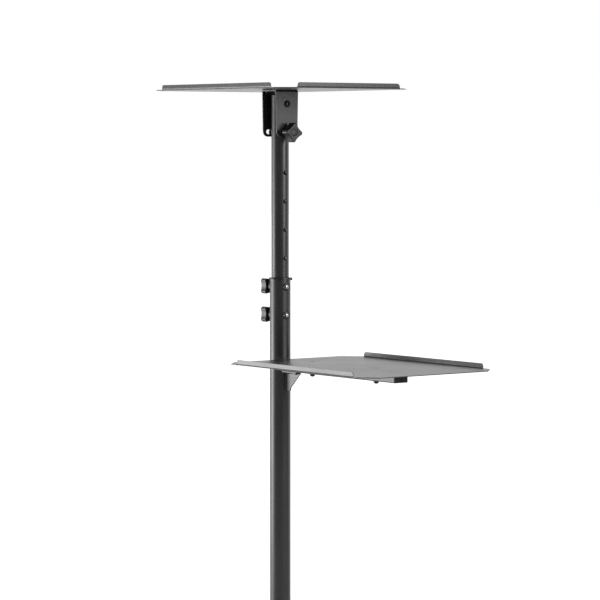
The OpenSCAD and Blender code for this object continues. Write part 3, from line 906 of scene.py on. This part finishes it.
class TROLLEY_OT_pole(bpy.types.Operator):
    """Finish both tubes, and model the collar, the top plug, the welded nuts and the bolt ends"""

    bl_idname = "trolley.pole"
    bl_label = "Telescopic pole"

    def execute(self, context):
        # The tubes keep their own mesh
        for node in ("lower_tube", "upper_tube"):
            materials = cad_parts[node].data.materials
            materials.clear()
            materials.append(finish("powder_coat"))
        self.collar()
        self.plug()
        self.lock_nuts()
        return {"FINISHED"}

    def collar(self):
        """The bush in the lower tube's mouth: its rim, its sleeve, and its index tab"""
        low, high = limits("tube_collar")
        mouth = limits("lower_tube")[1].z
        bore, sleeve, radius, top = MAST_R + 0.3, TUBE_R - 1.65, -low.x, high.z
        bush = turned([
            (bore, low.z), (sleeve, low.z), (sleeve, mouth), (radius - 0.3, mouth), (radius, mouth + 0.3),
            (radius, top - 0.9), (radius - 0.3, top - 0.3), (radius - 0.9, top), (bore + 0.6, top),
            (bore, top - 0.5),
        ], 96, hollow=True)
        tab = block((TUBE_R + 0.1, -2.4, top - 4.9), (radius + 1.1, 2.4, top - 0.1), 0.7, 3)
        piece("collar", [bush, (tab, turn(53, "Z"))], "black_plastic", "tube_collar")

    def plug(self):
        low, high = limits("tube_plug")
        rim, body_r = limits("upper_tube")[1].z, MAST_R - 1.7
        plug = turned([
            (0, low.z), (body_r - 0.5, low.z), (body_r, low.z + 0.6), (body_r, rim), (MAST_R - 0.1, rim),
            (MAST_R, rim + 0.2), (MAST_R - 0.5, rim + 0.8), (MAST_R - 1.8, high.z - 0.25),
            (MAST_R - 3, high.z), (0, high.z),
        ], 72)
        piece("top_plug", [plug], "black_plastic", "tube_plug", body="mast")

    def lock_nuts(self):
        """For each lock bolt, a nut welded on the far side, a boss behind the knob, and the bolt's end"""
        low, high = limits("lock_nuts")
        tip_low, tip_high = limits("lock_bolt_tips")
        boss_r, nut_r, hole_r = (high.y - low.y) / 2, 7, 4.3
        tip_r = (tip_high.y - tip_low.y) / 2
        bore, end_r, face, start, end = tip_r + 0.1, tip_r - 0.05, -low.x, tip_low.x, tip_high.x
        nuts, tips = [], []
        for z in (high.z - boss_r, low.z + boss_r):
            place = at(z=z)
            nut = turned([
                (bore, TUBE_R - 3), (nut_r, TUBE_R - 3), (nut_r, high.x - 0.9), (nut_r - 0.3, high.x - 0.3),
                (nut_r - 0.9, high.x), (tip_r + 0.9, high.x), (bore, high.x - 0.8),
            ], 48, hollow=True)
            boss = turned([
                (hole_r, 9), (boss_r, 9), (boss_r, face - 0.8), (boss_r - 0.3, face - 0.2),
                (boss_r - 0.9, face), (hole_r + 0.7, face), (hole_r, face - 0.6),
            ], 64, hollow=True)
            pair = joined((nut, place @ ALONG_X), (boss, place @ BACK_X))
            nuts.append(cut_away(pair, [(rod(TUBE_R + PLAY, -20, 20, 96), place)]))
            tip = turned([
                (0, start), (tip_r - 0.4, start), (end_r, start + 0.5), (end_r, end - 1.1),
                (tip_r - 0.5, end - 0.35), (tip_r - 1.3, end - 0.05), (0, end),
            ], 40)
            tips.append((tip, place @ ALONG_X))
        piece("welded_nuts", nuts, "black_fasteners", "lock_nuts", coat="powder_coat")
        piece("bolt_ends", tips, "zinc_steel", "lock_bolt_tips")


class TROLLEY_OT_height_knobs(bpy.types.Operator):
    """Model the two star knobs that lock the height, with their threaded studs"""

    bl_idname = "trolley.height_knobs"
    bl_label = "Height knobs"

    def execute(self, context):
        for which in ("upper", "lower"):
            body, node = f"height_grip_{which}", f"height_knob_{which}"
            low, high = limits(node)
            level = at(z=(low.z + high.z) / 2)
            grip = (star_knob(high.x - low.x), level @ at(high.x) @ BACK_X @ turn(45, "Z"))
            piece(f"grip_{which}", [grip], "black_plastic", node, body=body)
            node = f"height_stud_{which}"
            low, high = limits(node)
            stud = (threaded((high.y - low.y) / 2 - 0.02, high.x - low.x), level @ at(low.x) @ ALONG_X)
            piece(f"stud_{which}", [stud], "zinc_steel", node, body=body)
        return {"FINISHED"}


class TROLLEY_OT_side_arm(bpy.types.Operator):
    """Model the arm for the laptop shelf, its end plug, the folded bracket under it and the screws"""

    bl_idname = "trolley.side_arm"
    bl_label = "Side arm"

    def execute(self, context):
        corner = context.scene.trolley_sizes.tube_corner / MM
        low, high = limits("shelf_arm")
        arm = box_tube((0, low.y, low.z), high, 0, corner)
        parts = [cut_away(arm, [(rod(TUBE_R - 0.02, -60, 60, 128), at(z=low.z))])]
        for z, flip in ((low.z, -1), (high.z, 1)):
            bead = weld_ring(TUBE_R, 2.6, 96)
            beyond = [v for v in bead.verts if v.co.x < 0 or abs(v.co.y) > high.y - corner]
            bmesh.ops.delete(bead, geom=beyond, context="VERTS")
            bmesh.ops.holes_fill(bead, edges=bead.edges, sides=8)
            parts.append((bead, at(z=z) @ mirrored(z=flip)))
        piece("side_arm", parts, "frame_steel", "shelf_arm")

        cap_face = limits("arm_end_cap")[1].x
        plug = tube_plug(high.y - low.y, high.z - low.z, cap_face - high.x)
        piece("arm_plug", [(plug, at(high.x, 0, low.z))], "black_plastic", "arm_end_cap")
        self.bracket(low.z)
        return {"FINISHED"}

    def bracket(self, under):
        """The folded bracket: its web, the bend at its top and the flange under the arm; its screws"""
        low, high = limits("arm_bracket")
        sheet, bend, start, toe = 2.5, 3.4, 6, 32
        fold = under - bend
        bm = bmesh.new()
        web = outlined(bm, [(x, high.y, z) for x, z in (
            (start, fold), (high.x - 1, fold), (high.x - 2, fold - 1), (toe + 1.5, under - 30),
            (toe, under - 33), (toe, low.z), (start, low.z),
        )])
        root = next(e for e in web.edges if all(abs(v.co.z - fold) < 0.01 for v in e.verts))
        across = (0, low.y - (high.y - bend), 0)
        tips = fold_out(bm, root, (0, high.y - bend, fold), (1, 0, 0), 6, across)
        round_corners(bm, [v for v in tips if v.co.x > toe], 2, 4)
        thicken(bm, (0, 1, 0), sheet, 0.35)
        parts = [cut_away(bm, [(rod(TUBE_R + PLAY, -40, 20, 96), at(z=under))])]
        for side in (1, -1):
            bead = weld_line(under - low.z - 6, 1.5)
            place = at(TUBE_R, side * high.y, low.z + 0.6) @ mirrored(y=side) @ UPRIGHT
            parts.append((bead, place))
        piece("arm_gusset", parts, "frame_steel", "arm_bracket")

        low, high = limits("arm_bracket_screws")
        radius = (high.y - low.y) / 2
        parts = []
        for x in (low.x + radius, high.x - radius):
            place = at(x, (low.y + high.y) / 2, under - sheet) @ DOWN
            shank = rod(2.4, -3.8, 0.3, 24, chamfer=0.4)
            parts += [(socket_head(radius, 2.5, 1.7, 1.4), place), (shank, place)]
        piece("gusset_screws", parts, "black_fasteners", "arm_bracket_screws")


class TROLLEY_OT_laptop_shelf(bpy.types.Operator):
    """Model the laptop shelf and the bolts that hold it on its arm"""

    bl_idname = "trolley.laptop_shelf"
    bl_label = "Laptop shelf"

    def execute(self, context):
        low, high = limits("shelf_bolts")
        head_r = high.y
        spots = [(low.x + head_r, 0), (high.x - head_r, 0)]
        lips = {0: FRONT_LIP, 2: FRONT_LIP}
        sheet = drilled_shelf("laptop_shelf", lips, spots, 3.2, head_r + 0.12, 40)
        piece("lower_shelf", sheet, "shelf_sheet", "laptop_shelf")

        bottom, under = limits("laptop_shelf")[0].z, limits("shelf_arm")[0].z
        nut_h = under - low.z
        parts = []
        for x, y in spots:
            dome = turned([
                (0, 0), (4.9, 0), (5, 0.4), (5, nut_h * 0.4), (4.5, nut_h * 0.62), (3.4, nut_h * 0.84),
                (1.8, nut_h * 0.97), (0, nut_h),
            ], 36)
            parts += [
                (flush_head(3, head_r, 2.2), at(x, y, bottom)),
                (rod(2.9, under - 3, bottom + 0.2, 24), at(x, y)), (dome, at(x, y, under) @ DOWN),
            ]
        piece("shelf_bolt_pair", parts, "black_fasteners", "shelf_bolts")
        return {"FINISHED"}


class TROLLEY_OT_tilt_head(bpy.types.Operator):
    """Model the tilt bracket, its pivot and clamp bolts, the spacers and the clamp knob"""

    bl_idname = "trolley.tilt_head"
    bl_label = "Tilt head"

    def execute(self, context):
        pivot = middle("pivot_bolt").z
        clamp = middle("clamp_bolt").z
        self.bracket(pivot, clamp)
        self.bolts(pivot, clamp)
        low, high = limits("clamp_knob")
        knob = star_knob(high.x - low.x)
        place = at(low.x, 0, (low.z + high.z) / 2) @ turn(-5, "X") @ ALONG_X
        piece("tilt_grip", [(knob, place)], "black_plastic", "clamp_knob", body="clamp_grip")
        return {"FINISHED"}

    def bracket(self, pivot, clamp):
        """A U of sheet: the web is spun round both bends into ears, which get corners and slots"""
        low, high = limits("tilt_bracket")
        sheet, bend, corner, taper = 2, 3.5, 10, 1.5
        flat, half, fold = high.x - bend, high.y, high.z - bend
        bm = bmesh.new()
        web = outlined(bm, [
            (x, y, high.z) for x, y in ((-flat, -half), (flat, -half), (flat, half), (-flat, half))
        ])
        ends = []
        for side in (1, -1):
            root = next(e for e in web.edges if all(abs(v.co.x - side * flat) < 0.01 for v in e.verts))
            tips = fold_out(bm, root, (side * flat, 0, fold), (0, side, 0), 6, (0, 0, low.z - fold))
            for vert in tips:
                vert.co.y -= math.copysign(taper, vert.co.y)
            ends += tips
        round_corners(bm, ends, corner, 9)
        thicken(bm, (0, 0, 1), sheet, 0.3)

        centre, reach, slot_w = at(z=pivot) @ ALONG_X, 14, 4.2
        near, far = pivot - clamp - slot_w, pivot - clamp + slot_w
        slot = bmesh.new()
        section = outlined(slot, [(near, 0, -40), (far, 0, -40), (far, 0, 40), (near, 0, 40)])
        spun(slot, [section], math.radians(2 * reach), 14)
        cutters = [(rod(4.1, -40, 40, 32), centre), (slot, centre @ turn(-reach, "Z"))]
        for degrees in (-reach, reach):
            place = centre @ turn(degrees, "Z") @ at(x=pivot - clamp)
            cutters.append((rod(slot_w, -39, 39, 32), place))
        piece("tilt_cradle", [cut_away(bm, cutters)], "frame_steel", "tilt_bracket", body="head")

    def bolts(self, pivot, clamp):
        ear = limits("tilt_bracket")[1].x + 0.3
        low, high = limits("pivot_bolt")
        head_r = (high.z - low.z) / 2
        front, back = at(ear, 0, pivot) @ ALONG_X, at(-ear, 0, pivot) @ BACK_X
        piece("pivot_pin", [
            (rod(3.9, -ear - 1, ear + 0.5, 36), at(z=pivot) @ ALONG_X),
            (socket_head(head_r, high.x - ear, 3.1, 2.9), front),
            (hex_nut(head_r, -ear - low.x - 0.6, 3.9), back),
            (threaded(3.85, -ear - low.x), back),
        ], "black_fasteners", "pivot_bolt", body="mast")

        low, high = limits("pivot_spacers")
        radius, bore, end = (high.z - low.z) / 2, 4.1, high.x
        parts = []
        for flip in (1, -1):
            sleeve = turned([
                (bore, 5), (radius, 5), (radius, end - 0.6), (radius - 0.6, end), (4.7, end),
                (bore, end - 0.6),
            ], 44, hollow=True)
            parts.append((sleeve, mirrored(flip) @ at(z=pivot) @ ALONG_X))
        sleeves = cut_away(joined(*parts), [(rod(MAST_R + PLAY, -20, 20, 96), at(z=pivot))])
        piece("spacer_pair", [sleeves], "black_plastic", "pivot_spacers", body="mast")

        low, high = limits("clamp_bolt")
        radius = (high.z - low.z) / 2
        front_t, back_t = 1.5, 1.2
        front, back = at(ear, 0, clamp) @ ALONG_X, at(-ear, 0, clamp) @ BACK_X
        piece("clamp_rod", [
            (threaded(3.9, high.x + ear), at(-ear, 0, clamp) @ ALONG_X),
            (washer(radius, 4.0, front_t), front), (washer(radius, 4.0, back_t), back),
            (hex_bolt_head(7.4, -ear - low.x - back_t), back @ at(z=back_t)),
        ], "black_fasteners", "clamp_bolt", body="mast")


class TROLLEY_OT_projector_shelf(bpy.types.Operator):
    """Model the projector shelf and the four flush screws that hold it"""

    bl_idname = "trolley.projector_shelf"
    bl_label = "Projector shelf"

    def execute(self, context):
        low, high = limits("shelf_screws")
        head_r, nut_h = 4.5, 2.5
        x, y = high.x - head_r, high.y - head_r
        spots = [(u, v) for u in (-x, x) for v in (-y, y)]
        lips = {0: FRONT_LIP, 1: SIDE_LIP, 2: FRONT_LIP, 3: SIDE_LIP}
        sheet = drilled_shelf("projector_shelf", lips, spots, 2.7, head_r + 0.1, 36)
        piece("upper_shelf", sheet, "shelf_sheet", "projector_shelf", body="head")

        bottom, web = limits("projector_shelf")[0].z, low.z + nut_h
        parts = []
        for u, v in spots:
            shank = rod(2.4, web - 2.4, bottom + 0.2, 20, chamfer=0.4)
            parts += [
                (flush_head(2.5, head_r, 1.7), at(u, v, bottom)), (shank, at(u, v)),
                (hex_nut(4.2, nut_h, 2.4), at(u, v, low.z)),
            ]
        piece("shelf_screw_set", parts, "black_fasteners", "shelf_screws", body="head")
        return {"FINISHED"}


class TROLLEY_OT_stage(bpy.types.Operator):
    """Set up the pale floor, the soft lamps, the surroundings and the camera"""

    bl_idname = "trolley.stage"
    bl_label = "Studio"

    # The photograph's view: which way the camera looks, where it stands, and its lens
    camera_turn = 53.09
    camera_pitch = 3.25
    camera_place = (4.027, -3.054, 1.1197)
    camera_lens = 168.6

    def execute(self, context):
        scene = context.scene
        scene.view_settings.view_transform = "Standard"
        heading = math.radians(self.camera_turn)
        self.right = Vector((math.cos(heading), math.sin(heading), 0))
        self.ahead = Vector((-math.sin(heading), math.cos(heading), 0))
        self.camera(scene, heading)
        self.floor(scene)
        self.surroundings(scene)
        self.lamps(scene)
        return {"FINISHED"}

    def camera(self, scene, heading):
        data = bpy.data.cameras.new("camera")
        data.sensor_width = 36
        data.lens = self.camera_lens
        data.clip_end = 200
        thing = bpy.data.objects.new("camera", data)
        thing.location = self.camera_place
        thing.rotation_euler = (math.radians(90 - self.camera_pitch), 0, heading)
        scene.collection.objects.link(thing)
        scene.camera = thing

    def away(self, tree, where):
        """How far a place, or how much a direction, is away from the camera"""
        inputs = {0: where, 1: self.ahead}
        return new_node(tree, "VectorMath", inputs, operation="DOT_PRODUCT").outputs["Value"]

    def floor(self, scene):
        """Pale; it fades to white all round for the camera, and behind the trolley for reflections"""
        bm = bmesh.new()
        size = scene.trolley_sizes.floor_size / 2
        bmesh.ops.create_grid(bm, x_segments=8, y_segments=8, size=size)
        thing = as_object(bm, "floor")
        material, tree, shader = shader_tree("studio_floor")
        colour = tuple(scene.trolley_colours.floor)
        shade = spread(tree, noise(tree, 3, 3), 0, 1)
        wire(tree, shader, {
            "Base Color": blended(tree, shade, colour, lighter(colour, 0.985)),
            "Roughness": 0.9,
            "Specular IOR Level": 0.1,
        })
        where = new_node(tree, "TexCoord", {}).outputs["Object"]
        out = new_node(tree, "VectorMath", {0: where}, operation="LENGTH").outputs["Value"]
        rays = new_node(tree, "LightPath", {}).outputs
        all_round = spread(tree, out, 0.14, 0.95, 0.5, 2.2, "SMOOTHSTEP")
        behind = spread(tree, self.away(tree, where), 0.0, 0.9, 0.3, 2.5, "SMOOTHSTEP")
        strength = calculated(
            tree, "MAXIMUM", calculated(tree, "MULTIPLY", rays["Is Camera Ray"], all_round),
            calculated(tree, "MULTIPLY", rays["Is Glossy Ray"], behind),
        )
        glow = new_node(tree, "Emission", {"Strength": strength})
        both = new_node(tree, "AddShader", {0: shader.outputs[0], 1: glow.outputs[0]})
        wire(tree, tree.nodes["Material Output"], {"Surface": both.outputs[0]})
        thing.data.materials.append(material)

    def surroundings(self, scene):
        """White to the camera; for gloss and soft light, a white backdrop behind and a dim room in front"""
        world = bpy.data.worlds.new("studio")
        scene.world = world
        world.use_nodes = True
        tree = world.node_tree
        where = new_node(tree, "TexCoord", {}).outputs["Generated"]
        level = spread(tree, self.away(tree, where), 0.16, 1.0, 0.25, 0.8, "SMOOTHSTEP")
        room = tree.nodes["Background"]
        wire(tree, room, {"Color": (1, 1, 1, 1), "Strength": level})
        white = new_node(tree, "Background", {"Color": (1, 1, 1, 1), "Strength": 1.0})
        rays = new_node(tree, "LightPath", {}).outputs
        seen = calculated(tree, "MAXIMUM", rays["Is Camera Ray"], rays["Is Transmission Ray"])
        mix = new_node(tree, "MixShader", {0: seen, 1: room.outputs[0], 2: white.outputs[0]})
        wire(tree, tree.nodes["World Output"], {"Surface": mix.outputs[0]})

    def lamps(self, scene):
        """Soft boxes: a strong tall one on the left, a weaker high one on the right, one overhead"""
        for name, degrees, away, height, aim_height, wide, tall, watts in (
            ("lamp_left", -96, 2.0, 0.585, 0.585, 1.15, 1.0, 21),
            ("lamp_right", 55, 2.5, 1.45, 1.45, 1.3, 0.95, 21),
            ("lamp_top", 0, 0.2, 2.6, 0, 1.6, 1.6, 30),
        ):
            data = bpy.data.lights.new(name, "AREA")
            data.shape = "RECTANGLE"
            data.size = wide
            data.size_y = tall
            data.energy = watts
            thing = bpy.data.objects.new(name, data)
            angle = math.radians(degrees)
            side = self.right * math.sin(angle) - self.ahead * math.cos(angle)
            thing.location = Vector((POLE_X, 0, height)) + side * away
            aim = Vector((POLE_X, 0, aim_height)) - thing.location
            thing.rotation_euler = aim.to_track_quat("-Z", "Y").to_euler()
            thing.visible_camera = False
            scene.collection.objects.link(thing)


class TROLLEY_PT_panel(bpy.types.Panel):
    """Sizes, colours and pieces of the trolley"""

    bl_idname = "TROLLEY_PT_panel"
    bl_label = "Projector trolley"
    bl_space_type = "VIEW_3D"
    bl_region_type = "UI"
    bl_category = "Trolley"

    def draw(self, context):
        layout = self.layout
        for group in (context.scene.trolley_sizes, context.scene.trolley_colours):
            box = layout.box()
            for name in group.__annotations__:
                box.prop(group, name)
        for operator in OPERATORS:
            layout.operator(operator.bl_idname)


OPERATORS = (
    TROLLEY_OT_stage, TROLLEY_OT_base, TROLLEY_OT_castors, TROLLEY_OT_pole, TROLLEY_OT_height_knobs,
    TROLLEY_OT_side_arm, TROLLEY_OT_laptop_shelf, TROLLEY_OT_tilt_head, TROLLEY_OT_projector_shelf,
)
CLASSES = (TrolleySizes, TrolleyColours, *OPERATORS, TROLLEY_PT_panel)


def register():
    for cls in CLASSES:
        bpy.utils.register_class(cls)
    bpy.types.Scene.trolley_sizes = PointerProperty(type=TrolleySizes)
    bpy.types.Scene.trolley_colours = PointerProperty(type=TrolleyColours)


def unregister():
    del bpy.types.Scene.trolley_colours
    del bpy.types.Scene.trolley_sizes
    for cls in reversed(CLASSES):
        bpy.utils.unregister_class(cls)


def main():
    register()
    for operator in OPERATORS:
        group, name = operator.bl_idname.split(".")
        getattr(getattr(bpy.ops, group), name)()


if __name__ == "__main__":
    main()
